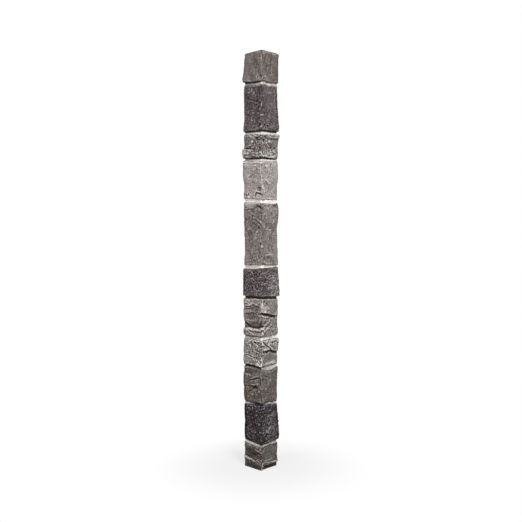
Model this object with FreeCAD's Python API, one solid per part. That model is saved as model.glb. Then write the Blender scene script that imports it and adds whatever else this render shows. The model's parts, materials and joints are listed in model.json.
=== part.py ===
import FreeCAD, Part
import math
import os
import random
from collections import namedtuple

os.makedirs("parts", exist_ok=True)

# Faux stone outside corner: one moulded foam angle, 4 ft long, that wraps the
# outside corner of a wall. Its outer face is a stack of eleven split stones
# with recessed wavy mortar joints, its back is flat and square, and its ends
# are cut flat so that corners stack and flat panels butt against both legs.
# Frame: +Z up along the corner, the stone arris at +X -Y, origin in the middle
# of the bottom. While a stone is shaped, the arris of the usual stone face is
# the upright through (0, 0). All sizes in millimetres.

# Angle
LENGTH = 1219.2          # along the corner, both ends sawn square
LEG = 71.0               # arris to the free end of a leg, over the stone faces
RECESS = 5.0             # mortar behind the usual stone face
WALL = 19.0              # foam from the mortar to the flat back
MORTAR_ARRIS_ROUND = 3.0
PROUD = 8.0              # the proudest stones stand out about this far
SAW_SPARE = 0.5          # what the saw takes off every end

# Stones
ROOT = 4.0               # stone root sunk into the wall behind the mortar
TOP_GAP = 1.6            # left bare above the top stone
EDGE = 2.6               # broken edge round each stone face
LIP = 1.2                # stone edges droop this much from root to lip
EDGE_WANDER = 0.8        # waver of a stone's top and bottom edges
STAND_OUT = 1.2          # least that a stone stands out from the mortar
LEDGE_RISE = 1.6         # height of the riser where a bed steps out
LEDGE_FADE = 0.75        # share of a ledge's step that fades out down the stone
CRACK_REACH = 6.0        # crack cutters start this far out from the face
CRACK_TIP = 0.35         # size of a crack's ends beside its middle

# Split faces
ROW_PITCH = 10.5         # facet height on a stone face
COLUMNS = (0.0, 0.06, 0.16, 0.29, 0.43, 0.57, 0.71, 0.86, 1.0)  # shares of a leg
ROUGH = 0.8              # split face roughness, either way
SWELLS = 4               # broad swells that cross each stone face
SWELL_DEEP = 0.75        # height of one swell, either way
SWELL_LONG = (26, 64)    # shortest and longest swell
SWELL_CALM = 0.6         # past this share of a leg the swells die out to its end
ARRIS_CHIP = 2.6         # deepest chip off the stone arris
SEED = 7

# Ledge: a bed line at a share of the stone's height, at the left end, arris and
# right end, and how far the face below it steps out at each of the three
Ledge = namedtuple("Ledge", "share step")

# Dent: a hollow (or, below zero, a boss) in one face: place along the legs from
# the arris, share of the stone's height, half width, half height and depth
Dent = namedtuple("Dent", "along share wide tall deep")

# Crack: points along it as (along the legs, share of height), its half width
# at the face and its depth
Crack = namedtuple("Crack", "path wide deep")

# Stones from the top down. Each course is as tall as given and takes in the
# joint under its stone: the joint's gap and how far it wavers off level, both at
# even places from the left end round the arris to the right end. Then how far
# the face stands out from the usual stone face at even heights, top to bottom,
# at the left end, on the arris and at the right end
Stone = namedtuple("Stone", "course gap waver left arris right ledges dents cracks")
STONES = (
    Stone(93.5, (7.5, 7.5, 9, 8, 8), (4.5, 1, 0, 1, 3.5),
          (-3, -1.5, -0.5, 0.5, 1.5, 3, 5, 8, 8.5), (0, 1, 0, 1, 1),
          (7.5, 4, 1.5, 1.5, 2, 1.5, 1.5, 1.5, 1.5),
          (),
          (Dent(-34, 0.62, 22, 18, 2.0), Dent(30, 0.40, 20, 16, 1.5)),
          ()),
    Stone(143.5, (6.5, 8, 10.5, 11.5, 9), (3.5, 1.5, 0, 2, 4.5),
          (0, 1, 0.5, 0, 0, -0.5, -1.5, 2.5, 4), (0, 1, -1, 0, 1),
          (-3, -2.5, -1.5, -0.5, 0.5, 1.5, 2.5, 6, 5),
          (),
          (Dent(-22, 0.45, 15, 20, 2.5), Dent(16, 0.35, 12, 18, 2.0), Dent(44, 0.70, 16, 18, 1.5)),
          ()),
    Stone(77, (5.5, 8, 11.5, 8, 4.5), (3, 0.5, 0, 1, 3.5),
          (0, 0.5, 0, 0, 0, 0.5, 3.5, 5, 3), (1, 2, 0, 1, 1),
          (8, 7, 7, 4, 3.5, 1, 1, 2.5, 0),
          (Ledge((0.39, 0.30, 0.20), (5, 0.5, 0)), Ledge((0.91, 0.86, 0.84), (0, -0.5, -4))),
          (Dent(28, 0.46, 16, 12, 2.5), Dent(-30, 0.62, 14, 10, 2.0)),
          (Crack(((-3, 0.32), (3, 0.22), (9, 0.14)), 1.6, 2.2),)),
    Stone(121.5, (10.5, 10, 8.5, 12, 8), (4.5, 3.5, 0, 0, 2.5),
          (4, 6, 5, 5, 3.5, -0.5, 0, 1.5, 1), (0, 1, 1, 0, 0),
          (-3.5, 0, 1, 2, 0, -3, -3.5, -3.5, -3.5),
          (),
          (Dent(-15, 0.10, 12, 9, 3.5), Dent(40, 0.24, 18, 16, 2.0), Dent(-40, 0.50, 18, 20, 1.5)),
          (Crack(((-26, 0.11), (-21, 0.18), (-9, 0.14), (1, 0.11)), 2.2, 2.5),)),
    Stone(189, (9.5, 11, 8, 8, 5), (-2, -1.5, 0, 1.5, 0.5),
          (1, 0, -2, -1, -2.5, -5, -4.5, -2.5, -0.5), (-1, 1, 0, 0, 1),
          (-1, 4.5, 3, -3, -2.5, -2, -1, 0, 1),
          (Ledge((0.90, 0.94, 0.97), (2, 0.5, 0)),),
          (Dent(-7, 0.91, 9, 8, 3), Dent(24, 0.60, 20, 24, 2), Dent(-36, 0.55, 16, 26, 1.5)),
          (Crack(((-16, 0.90), (-6, 0.95), (3, 0.88)), 2.0, 2.4),)),
    Stone(90.5, (8.5, 6, 6, 6.5, 7), (-0.5, 0.5, 0, -0.5, -1),
          (5, 4.5, 4.5, 5, 4, 4.5, 4.5, 4.5, 6), (0, 1, 0, 1, 2),
          (1, 1.5, 2.5, 4, 5, 5, 7, 8, 8),
          (),
          (Dent(-30, 0.60, 18, 14, 2.5), Dent(34, 0.46, 16, 14, 2.5)),
          ()),
    Stone(118.5, (8, 10.5, 11.5, 9.5, 10), (2, 1, 0, 0.5, 1.5),
          (3.5, 3, 1.5, 2, 2, 0.5, -5, 0, 0.5), (0, 2, 1, 0, 1),
          (-2, 0, 0, 0, 1.5, 0, 0.5, 1.5, 0),
          (Ledge((0.81, 0.88, 0.90), (1.5, 0, 0)), Ledge((0.60, 0.60, 0.54), (0, -0.5, -2.5)),
           Ledge((0.20, 0.26, 0.16), (5, 3, 0.5))),
          (Dent(-34, 0.44, 25, 30, 6.0),),
          (Crack(((-5, 0.61), (14, 0.59), (35, 0.57), (56, 0.52)), 2.4, 3.5),
           Crack(((14, 0.42), (34, 0.30), (60, 0.12)), 1.6, 2.0))),
    Stone(86.5, (5, 4.5, 4.5, 19, 8), (3.5, 3.5, 0, -1.5, 2.5),
          (-1, 1, 1, 2.5, 2.5, 1.5, 2, 2.5, 0.5), (1, 2, 0, 0, 1),
          (5, 3.5, 3.5, 2, 1, 0.5, -0.5, -1.5, -1),
          (Ledge((0.37, 0.26, 0.24), (2, 0.5, 0)), Ledge((0.62, 0.56, 0.48), (0, -0.5, -3))),
          (Dent(-24, 0.62, 12, 8, 1.5), Dent(30, 0.28, 22, 14, 1.5)),
          (Crack(((9, 0.54), (27, 0.55), (40, 0.57), (66, 0.47)), 2.2, 3.0),
           Crack(((5, 0.90), (22, 0.77), (39, 0.64)), 1.8, 2.2),
           Crack(((-30, 0.88), (-19, 0.85), (-10, 0.87)), 2.0, 2.0))),
    Stone(105.5, (8, 7.5, 7, 7.5, 8), (-1, -1, 0, 0, -2),
          (0, -0.5, 1.5, 1.5, 1, 1.5, 1, 1, -2), (0, 0, 1, 1, 0),
          (1, 0, -2, -2.5, -3, -3.5, -3, -2.5, -3.5),
          (Ledge((0.80, 0.70, 0.64), (2.5, 0, 0)), Ledge((0.46, 0.44, 0.42), (-2, 0, 0))),
          (Dent(-28, 0.41, 13, 8, 4.0),),
          (Crack(((-50, 0.61), (-30, 0.65), (-13, 0.71)), 2.2, 3.0),
           Crack(((-6, 0.70), (-4, 0.62), (-5, 0.52)), 2.0, 2.4))),
    Stone(122.5, (9, 11.5, 9, 9, 10.5), (7.5, 4, 0, 3.5, 5),
          (0, 0, -1.5, -3, -3, -2, -0.5, -1, -3), (0, 1, 0, 0, -1),
          (-3, -2.5, 0, 1.5, 3.5, 5, 5.5, 5.5, 5),
          (),
          (Dent(-30, 0.55, 20, 22, 1.5), Dent(26, 0.62, 16, 20, 2.0)),
          ()),
    Stone(71, (7, 7), (-8,) * 8 + (-6,) + (9,) * 8,
          (0, -1.5, -3.5, -4, -4, -6, -5.5, -4, -4), (0, 0, -1, 0, 0),
          (-1, 0.5, -1, -2, -3, -2.5, -2, -1, 0),
          (Ledge((0.46, 0.28, 0.30), (4, 2, 0)),),
          (Dent(-34, 0.68, 20, 12, 1.5),),
          (Crack(((-21, 0.73), (-10, 0.70), (-2, 0.64)), 1.6, 2.0),)),
)


def place(along, out, z):
    """Point by its distance from the arris (left leg below zero), how far it
    stands out from the usual stone face, and its height."""
    run = abs(along) - out * (1 - abs(along) / LEG)
    if along < 0:
        return FreeCAD.Vector(-run, -out, z)
    return FreeCAD.Vector(out, run, z)


def blend(along, left, arris, right):
    """Value between the left end, the arris and the right end."""
    end = left if along < 0 else right
    share = min(1.0, abs(along) / LEG)
    share = share * share * (3 - 2 * share)
    return arris + (end - arris) * share


def between(share, values):
    """Value at a share of the way along evenly spaced values."""
    spot = min(max(share, 0.0), 1.0) * (len(values) - 1)
    first = min(int(spot), len(values) - 2)
    return values[first] + (values[first + 1] - values[first]) * (spot - first)


def stations():
    """Columns of a stone along both legs, left end first."""
    leg = [share * LEG for share in COLUMNS]
    leg[-1] += SAW_SPARE
    return [-a for a in reversed(leg[1:])] + leg


def course_top(number):
    """Height of the line between a course and the one above it. The courses
    share the whole length, whatever it is."""
    stretch = LENGTH / sum(stone.course for stone in STONES)
    return LENGTH - stretch * sum(stone.course for stone in STONES[:number])


def joint_edge(number, along, side):
    """Lower (-1) or upper (1) edge of the joint over a course."""
    if number == 0:
        return LENGTH - TOP_GAP
    above = STONES[number - 1]
    round_corner = 0.5 + 0.5 * along / LEG
    waver = between(round_corner, above.waver)
    gap = between(round_corner, above.gap)
    return course_top(number) + waver + side * gap / 2


def stone_edges(number, along):
    """Heights of a stone's bottom and top edges."""
    return joint_edge(number + 1, along, 1), joint_edge(number, along, -1)


def stone_height(number):
    """Height of a stone on the arris."""
    low, high = stone_edges(number, 0)
    return high - low


def face_rows(number):
    """Facet rows of a stone face from low to high: each gives its share of the
    height at a place along the legs. Rows between two ledges run with them."""
    height = stone_height(number)
    rise = LEDGE_RISE / height / 2
    lines = [lambda along: EDGE / height]
    for ledge in sorted(STONES[number].ledges, key=lambda ledge: ledge.share[1]):
        lines.append(lambda along, g=ledge: blend(along, *g.share) - rise)
        lines.append(lambda along, g=ledge: blend(along, *g.share) + rise)
    lines.append(lambda along: 1 - EDGE / height)
    rows = []
    for below, above in zip(lines[::2], lines[1::2]):
        tall = (above(0) - below(0)) * height
        count = max(1, round(tall / ROW_PITCH))
        for i in range(count + 1):
            rows.append(lambda along, a=below, b=above, t=i / count: a(along) + t * (b(along) - a(along)))
    return rows


def face_out(number, along, share):
    """How far the smooth stone face stands out at a place on it."""
    stone = STONES[number]
    out = blend(along, between(1 - share, stone.left),
                between(1 - share, stone.arris), between(1 - share, stone.right))
    for ledge in stone.ledges:
        line = blend(along, *ledge.share)
        if share < line:
            out += blend(along, *ledge.step) * (1 - LEDGE_FADE * (line - share) / line)
    for dent in stone.dents:
        across = (along - dent.along) / dent.wide
        up = (share - dent.share) * stone_height(number) / dent.tall
        out -= dent.deep * math.exp(-across * across - up * up)
    return out


def swells(chance):
    """Broad waves in random directions, as a function of the place on a face."""
    waves = []
    for _ in range(SWELLS):
        turn = chance.uniform(0, math.pi)
        pitch = 2 * math.pi / chance.uniform(*SWELL_LONG)
        waves.append((pitch * math.cos(turn), pitch * math.sin(turn), chance.uniform(0, 2 * math.pi)))

    def swell(along, z):
        calm = min(1.0, max(0.0, (1 - abs(along) / LEG) / (1 - SWELL_CALM)))
        return SWELL_DEEP * calm * sum(math.sin(a * along + b * z + start) for a, b, start in waves)

    return swell


def section(number, along, rows, swell, chance):
    """Upright section of a stone from its root to its split face, as a wire."""
    low, high = stone_edges(number, along)
    low = max(low + chance.uniform(-EDGE_WANDER, EDGE_WANDER), -SAW_SPARE)
    high += chance.uniform(-EDGE_WANDER, EDGE_WANDER)

    def skin(share, rough):
        z = low + share * (high - low)
        out = face_out(number, along, share) + swell(along, z) + rough
        return max(out, STAND_OUT - RECESS), z

    root = -RECESS - ROOT
    points = [(root, low + LIP), skin(0, -EDGE / 2)]
    for row in rows:
        rough = chance.uniform(-ROUGH, ROUGH)
        if along == 0:
            rough -= chance.uniform(0, ARRIS_CHIP)
        points.append(skin(row(along), rough))
    lip_out, lip_z = skin(1, -EDGE)
    points.append((lip_out, lip_z - LIP))
    points.append((root, high))
    spots = [place(along, out, z) for out, z in points]
    return Part.makePolygon(spots + spots[:1])


def crack_cutter(number, crack):
    """V-shaped cutter along a crack in a stone face."""
    wedges = []
    last = len(crack.path) - 1
    for i, (along, share) in enumerate(crack.path):
        low, high = stone_edges(number, along)
        z = low + share * (high - low)
        out = face_out(number, along, share)
        size = CRACK_TIP if i in (0, last) else 1.0
        before = crack.path[max(i - 1, 0)]
        after = crack.path[min(i + 1, last)]
        run = after[0] - before[0]
        rise = (after[1] - before[1]) * (high - low)
        half = crack.wide * size * (1 + CRACK_REACH / crack.deep) / math.hypot(run, rise)
        spots = (place(along + rise * half, out + CRACK_REACH, z - run * half),
                 place(along - rise * half, out + CRACK_REACH, z + run * half),
                 place(along, out - crack.deep * size, z))
        wedges.append(Part.makePolygon(spots + spots[:1]))
    return Part.makeLoft(wedges, True, True)


def split_stone(number):
    """One stone as a loft of its upright sections round the corner, cracked."""
    chance = random.Random(SEED * 100 + number)
    swell = swells(chance)
    rows = face_rows(number)
    sections = [section(number, along, rows, swell, chance) for along in stations()]
    stone = Part.makeLoft(sections, True, True)
    for crack in STONES[number].cracks:
        stone = stone.cut(crack_cutter(number, crack))
    return stone


def angle(end, depth_out, low, high):
    """Square angle whose legs end at a distance from the arris, from the flat
    back out to a depth from the usual stone face."""
    back = RECESS + WALL
    corners = [FreeCAD.Vector(-end, -depth_out, low), FreeCAD.Vector(depth_out, -depth_out, low),
               FreeCAD.Vector(depth_out, end, low), FreeCAD.Vector(-back, end, low),
               FreeCAD.Vector(-back, back, low), FreeCAD.Vector(-end, back, low)]
    outline = Part.Face(Part.makePolygon(corners + corners[:1]))
    return outline.extrude(FreeCAD.Vector(0, 0, high - low))


def wall():
    """The plain angle behind the stones, its mortar arris rounded."""
    body = angle(LEG + SAW_SPARE, -RECESS, -SAW_SPARE, LENGTH + SAW_SPARE)
    arris = [e for e in body.Edges if e.Length > LENGTH
             and (e.CenterOfMass - place(0, -RECESS, LENGTH / 2)).Length < 1]
    return body.makeFillet(MORTAR_ARRIS_ROUND, arris)


def stone_corner():
    """The whole moulding: wall and stones as one solid, sawn off square."""
    stones = [split_stone(number) for number in range(len(STONES))]
    body = wall().multiFuse(stones)
    body = body.common(angle(LEG, LEG / 2, 0, LENGTH))
    middle = (LEG - PROUD) / 2
    body.translate(FreeCAD.Vector(middle, -middle, 0))
    return body.Solids[0]


shape = stone_corner()
shape.exportStep("parts/stone_corner.step")
print("solids", len(shape.Solids), "faces", len(shape.Faces), "valid", shape.isValid())
print("volume cm3", round(shape.Volume / 1000), "box", shape.BoundBox)
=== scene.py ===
# %% [markdown]
# # A faux stone outside corner
# The real thing is one length of moulded foam, painted to look like a column of
# split stones, that wraps the outside corner of a wall. This notebook dresses
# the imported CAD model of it. The CAD model is the frame: it fixes every size,
# and everything below is measured from it, so nothing has to be fitted by eye.

import json
import math
from collections import namedtuple

import bmesh
import bpy
import numpy as np
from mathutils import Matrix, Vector, noise
from mathutils.bvhtree import BVHTree


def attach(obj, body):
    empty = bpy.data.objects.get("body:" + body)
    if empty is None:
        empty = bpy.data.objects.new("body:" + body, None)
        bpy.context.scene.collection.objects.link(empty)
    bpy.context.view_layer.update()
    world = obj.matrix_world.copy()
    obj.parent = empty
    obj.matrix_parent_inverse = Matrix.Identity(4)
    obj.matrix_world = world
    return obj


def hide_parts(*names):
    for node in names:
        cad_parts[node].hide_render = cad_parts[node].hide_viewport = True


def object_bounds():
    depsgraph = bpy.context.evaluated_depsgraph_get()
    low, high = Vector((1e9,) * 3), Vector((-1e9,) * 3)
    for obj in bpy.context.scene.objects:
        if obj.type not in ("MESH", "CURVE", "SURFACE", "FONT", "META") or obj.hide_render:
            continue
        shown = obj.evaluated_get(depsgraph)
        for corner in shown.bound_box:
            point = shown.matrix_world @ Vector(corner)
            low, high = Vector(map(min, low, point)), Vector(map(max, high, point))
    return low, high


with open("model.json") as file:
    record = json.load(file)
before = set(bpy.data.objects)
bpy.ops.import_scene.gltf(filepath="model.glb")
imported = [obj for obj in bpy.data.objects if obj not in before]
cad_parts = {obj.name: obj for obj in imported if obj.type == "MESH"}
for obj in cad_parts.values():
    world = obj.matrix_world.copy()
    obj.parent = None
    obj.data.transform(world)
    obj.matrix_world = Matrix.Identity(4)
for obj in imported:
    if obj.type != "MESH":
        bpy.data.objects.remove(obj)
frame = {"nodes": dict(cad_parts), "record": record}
cad_box = [list(corner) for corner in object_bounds()]
MM = 0.001
print("CAD box", cad_box)

# %% [markdown]
# ## Finding the corner's skin
# The stone face goes round the corner, so a place on it is easier to give as it
# would be with the corner laid out flat: how far along from the arris (left leg
# below zero), how far out from the usual stone face, and how high. Both legs
# share one formula, and near the arris it fans out so that the legs meet in a
# mitre. The flat ends for panels and the flat back come from the record's own
# mounts.

# %% A place on the skin
mounts = {mount["name"]: mount["pos_m"] for mount in frame["record"]["mounts"]}
LEG = 71 * MM                # arris to the flat end of a leg
RECESS = 5 * MM              # mortar behind the usual stone face
END_X = mounts["panel_end_minus_x"][0]
END_Y = mounts["panel_end_plus_y"][1]
BACK_X = mounts["back_of_plus_x_leg"][0]
BACK_Y = mounts["back_of_minus_y_leg"][1]
TOP = mounts["top_cut"][2]
ARRIS = Vector((END_X + LEG, END_Y - LEG, 0))


def place(along, out, z):
    run = abs(along) - out * (1 - abs(along) / LEG)
    if along < 0:
        return ARRIS + Vector((-run, -out, z))
    return ARRIS + Vector((out, run, z))


print("arris at", [round(v, 4) for v in ARRIS], "top at", TOP)

# %% [markdown]
# ## Feeling the CAD solid
# A bounding volume tree answers where a ray meets the solid. One ray for each
# place, shot straight at the skin, says how far out the stone stands there.
# Casting rays is slower than copying points, but it works for any mesh, however
# it was cut into triangles, and lets the new skin have its own even grid.

# %% Rays against the solid
solid = frame["nodes"]["stone_corner"].data
tree = BVHTree.FromPolygons([v.co for v in solid.vertices], [p.vertices for p in solid.polygons])
FEELER = 16 * MM             # rays run from this far out to this far in


def feel(along, z):
    """How far out the CAD skin stands, or None where there is none."""
    start = place(along, FEELER, z)
    aim = place(along, -FEELER, z) - start
    distance = tree.ray_cast(start, aim.normalized(), aim.length)[3]
    if distance is None:
        return None
    return FEELER - 2 * FEELER * (distance / aim.length)


print("stone face at mid height", round(feel(LEG / 3, TOP / 2) / MM, 2), "mm")

# %% [markdown]
# ## Finding the joints
# The mortar lies deeper than any stone. Up every column of the grid, a run of
# deep hits is a joint, and its two ends are the edges of the stones above and
# below. The rows of the new mesh will follow these edges, so that they stay
# crisp however they waver.

# %% Columns of the grid
COLUMN_PITCH = 1.4 * MM
END_COLUMN = 0.55 * MM       # a last column this near each flat end, for its worn edge
INSET = 0.2 * MM             # rays stay this far inside the flat ends
STONES = 11

half = round(LEG / COLUMN_PITCH)
one_leg = [LEG * i / half for i in range(1, half)] + [LEG - END_COLUMN, LEG]
columns = np.array([-a for a in reversed(one_leg)] + [0.0] + one_leg)
felt_columns = np.clip(columns, INSET - LEG, LEG - INSET)
print(len(columns), "columns")

# %% Joints up every column
STEP = 0.75 * MM
DEEP = 0.55 * MM - RECESS    # nothing but mortar lies deeper
SHORTEST_JOINT = 2.6 * MM


def joint_runs(along):
    """Foot of the lowest stone, joints between stones and top of the highest."""
    heights = np.arange(STEP / 2, TOP, STEP)
    runs, start = [], None
    for z in heights:
        low = (feel(along, z) or 0) < DEEP
        if low and start is None:
            start = z
        if not low and start is not None:
            if z - start > SHORTEST_JOINT:
                runs.append((start - STEP / 2, z - STEP / 2))
            start = None
    top_edge = start - STEP / 2 if start is not None else TOP
    foot = runs.pop(0)[1] if runs and runs[0][0] < 2 * STEP else 0.0
    return foot, runs, top_edge


felt = [joint_runs(along) for along in felt_columns]
print("joints found per column", sorted({len(runs) for _, runs, _ in felt}))

# %% Edges of every stone, bottom to top
SOFTEN = (0.25, 0.5, 0.25)   # weights that take the rays' steps out of an edge

edge_rows = np.full((2 * STONES, len(columns)), np.nan)
for c, (foot, runs, top_edge) in enumerate(felt):
    edge_rows[0, c] = foot
    edge_rows[-1, c] = top_edge
    if len(runs) == STONES - 1:
        edge_rows[1:-1, c] = np.ravel(runs)
for row in edge_rows:
    known = ~np.isnan(row)
    row[:] = np.interp(columns, columns[known], row[known])
    row[1:-1] = np.convolve(row, SOFTEN, "valid")
mean_heights = (edge_rows[1::2] - edge_rows[0::2]).mean(axis=1)
print("stone heights, mm", [round(float(height) / MM) for height in mean_heights])

# %% [markdown]
# ## Shapes a mould maker cuts by hand
# Noise alone looks like gravel. A mould maker copies real stones, and each has
# its own marks, so these are placed one by one: a stroke is a crack or a ridge along
# a line, a step is a bed line with the face under it set back, and a patch is a
# hollow, a boss or a smooth spot. A place is given in millimetres along the legs
# and in percent of the stone's height, and sizes are in millimetres. Paint goes
# from -1, dark wash, to 1, worn light, and tint from -1, the base coat, to 1, the
# second colour. The dark paint of cracks, pits and dark patches is partly painted
# shade in them, and the light paint of ridges is partly a painted highlight on them.

# %% Strokes, steps and patches
Stroke = namedtuple("Stroke", "path wide deep paint")
Step = namedtuple("Step", "path drop fade")
Patch = namedtuple("Patch", "along percent wide tall deep calm paint tint")
FLECK_HIGH = 0.6             # mm that a fleck stands up
PIT_PAINT = -0.8
SMOOTHED = 0.85              # how calm a smooth spot is


def crack(*path, wide=2.4, deep=2.4, paint=-1.2):
    return Stroke(path, wide, deep, paint)


def ridge(*path, wide=2.2, deep=1.1, paint=0.6):
    return Stroke(path, wide, -deep, paint)


def fleck(along, percent, size=3.6, paint=0.6):
    return Patch(along, percent, size, size, -FLECK_HIGH, 0, paint, 0)


def pit(along, percent, size=3.6, deep=1.4):
    return Patch(along, percent, size, size, deep, 0, PIT_PAINT, 0)


def smooth(along, percent, wide, tall, paint=0, tint=0):
    return Patch(along, percent, wide, tall, 0, SMOOTHED, paint, tint)


# A shade patch makes an area darker or lighter: most give a stone its own tone, and the dark ones along a
# stone's edges and flat ends are painted shade.
def shade(along, percent, wide, tall, paint=0, tint=0):
    return Patch(along, percent, wide, tall, 0, 0, paint, tint)


def each(make, *places, **sizes):
    """One kind of mark at several places, or along several lines."""
    return [make(*where, **sizes) for where in places]


print("trial pits:", each(pit, (0, 50), (10, 60), size=3))

# %% [markdown]
# ## How each stone is finished
# A paint shop gives every stone its own base coat, drags lighter paint over the
# high spots and lets a dark wash settle in the hollows. So each stone gets four
# colours, written as screen values: base coat, second colour, light and wash. The
# light colour also paints highlights on lit ridges and top edges, and the wash
# also paints shade in cracks, in hollows and under ledges.
# Then comes the style of its break: how large and deep its chips are, how rough
# its ridges are, how large and deep its pits are, how rough its grain is, how
# much the chips differ in tone, whether it was brushed upright and how speckled
# it is. Its marks follow.

# %% What describes a stone
Break = namedtuple("Break", "chip chip_deep ridge_deep pit pit_deep grain_deep facets brushed speckled")
Finish = namedtuple("Finish", "name coat other high wash style marks")
FINISHES = []                # bottom to top


def light(*screen):
    """Screen values 0 to 255 as linear light, by the screens' own standard."""
    def one(value):
        value = value / 255
        return value / 12.92 if value <= 0.04045 else ((value + 0.055) / 1.055) ** 2.4
    return tuple(one(value) for value in screen) + (1.0,)


def stone(name, coat, other, high, wash, style, *marks):
    """Adds the next stone up."""
    FINISHES.append(Finish(name, coat, other, high, wash, Break(*style), marks))
    print(name, "has", len(marks), "marks")


print("mid grey is", round(light(128)[0], 3))

# %% The foot and the dark stones above it
stone("foot", (82, 80, 75), (75, 62, 60), (176, 169, 164), (18, 15, 15),
      (8, 0.7, 0.6, 4.5, 0.7, 0.4, 0.5, 0, 1.35),
      ridge((-71, 41), (-39, 36), (-19, 35), (2, 31), wide=2.6, deep=1.4, paint=1.3),
      ridge((-21, 36), (-12, 46), (1, 42), paint=0.8), ridge((-23, 84), (-1, 76)),
      ridge((3, 18), (30, 12), (67, 7), wide=2, deep=0.7, paint=1.6),
      ridge((2, 20), (2, -8), wide=2.8, paint=1.4),
      crack((-22, 79), (-1, 70), wide=1.8, deep=1.4),
      crack((8, 12), (30, 7), (44, 5), wide=1.4, deep=0.6, paint=-0.8),
      pit(-48, 78), pit(-28, 62), fleck(14, 62, 3),
      smooth(34, 24, 28, 5, 0.1), smooth(38, 60, 28, 24, 0.3, -0.8),
      shade(-36, 20, 34, 6, -0.4), shade(-38, 5, 36, 8, -1), shade(36, 98, 34, 3, -0.9),
      shade(36, 3, 30, 3, 0.4), shade(-36, 68, 28, 15, -0.6, 1), shade(-8, 50, 12, 30, -0.3))
stone("black", (43, 41, 44), (48, 33, 40), (154, 146, 147), (8, 7, 8),
      (5.5, 0.8, 0.5, 4.2, 1.3, 0.5, 0.4, 0, 1.5),
      ridge((-57, 15), (-51, 7), (-39, 5), deep=0.8), crack((65, 61), (68, 31), deep=1.2),
      *each(pit, (-27, 45), (4, 66), (20, 20)), *each(fleck, (28, 30), (34, 37), paint=1.3),
      *each(fleck, (-11, 51), (14, 49), size=3, paint=1.2),
      *each(fleck, (46, 20), (-19, 73), (-40, 30), (-38, 62), (8, 30), size=3),
      smooth(57, 71, 11, 12, 0.5, -1), shade(-67, 50, 7, 70, -1), shade(-34, 50, 26, 55, 0, 1),
      shade(69, 40, 5, 60, -0.7), shade(0, 50, 80, 90, -0.25), shade(36, 40, 26, 50, 0.45, -0.6),
      shade(0, 3, 60, 5, -0.4))
stone("brown_hollow", (91, 86, 81), (86, 76, 69), (160, 153, 146), (22, 19, 17),
      (7, 0.55, 0.5, 4.2, 0.6, 0.5, 0.4, 0, 1.8),
      crack((-50, 59), (-28, 68), (-10, 73), wide=2.2, deep=2.2, paint=-1.8),
      crack((-5, 71), (-3, 60), (-6, 52), wide=2.2, deep=1.2, paint=-0.9),
      crack((14, 85), (34, 74), wide=1.6, deep=0.8, paint=-0.5),
      ridge((-43, 50), (-27, 51), (-11, 55), deep=1.8, paint=1.1),
      ridge((-44, 65), (-28, 73), (-14, 78), deep=0.6, paint=0.3),
      Patch(-26, 43, 8, 4.5, 2, 0, -2.2, 0), pit(-45, 33), fleck(27, 77),
      *each(fleck, (36, 68), (30, 58), (-36, 22), (18, 42), size=3),
      smooth(52, 62, 12, 18, 0.05, -0.4), shade(-48, 40, 24, 34, -0.1, 1),
      shade(30, 70, 30, 26, 0.05, -0.8), shade(-54, 80, 15, 5, 0.1), shade(-52, 44, 12, 4, 0.4),
      shade(-20, 10, 40, 20, 0, 0.8), shade(-68, 40, 6, 70, -0.5))

# %% [markdown]
# ## The layered stones in the middle
# Two pale stones split along slanting beds. Their long cracks are the darkest
# marks on the whole column, so they are cut deeper than the rest and lie over
# the cracks that the CAD model already has. The beige one has a broad slab that
# leans back to a crevice, with thin ledges below it.

# %% Pale layered stone
stone("pale_layered", (125, 119, 116), (110, 103, 102), (226, 221, 217), (20, 17, 16),
      (6.5, 0.9, 0.8, 4, 0.9, 0.6, 0.7, 0, 1.8),
      Step(((-71, 39.5), (-42, 36), (-26, 33)), 1.8, 16),
      crack((7, 56), (22, 53), (32, 55), (39, 56), (52, 48), (70, 45), wide=4.4, deep=3.8, paint=-2.2),
      crack((6, 97), (20, 78), (42, 58), wide=1.8, deep=1.8, paint=-0.9),
      crack((-30, 91), (-11, 93), wide=2.8, deep=2.2), crack((-70, 0), (-6, 0), wide=3),
      ridge((3, 66), (20, 65), paint=1), ridge((-70, 42), (-44, 38.5), (-28, 36), deep=0.5),
      pit(-20, 50, 3, 0.8), pit(44, 86), fleck(-12, 64), fleck(50, 78),
      *each(fleck, (-18, 10), (-8, 4), (0, 10), (5, 86), size=4, paint=1.3),
      *each(fleck, (-46, 76), (30, 85), size=4, paint=1.2), fleck(4, 20, 4, 1),
      Patch(40, 27, 28, 15, 1.4, 0.85, -0.1, 0.4), smooth(-58, 22, 16, 10, 0.1, -0.6),
      smooth(-64, 64, 8, 18, -0.1, -1), smooth(36, 10, 32, 4, 0.6), shade(-24, 50, 44, 60, -0.15))

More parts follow.
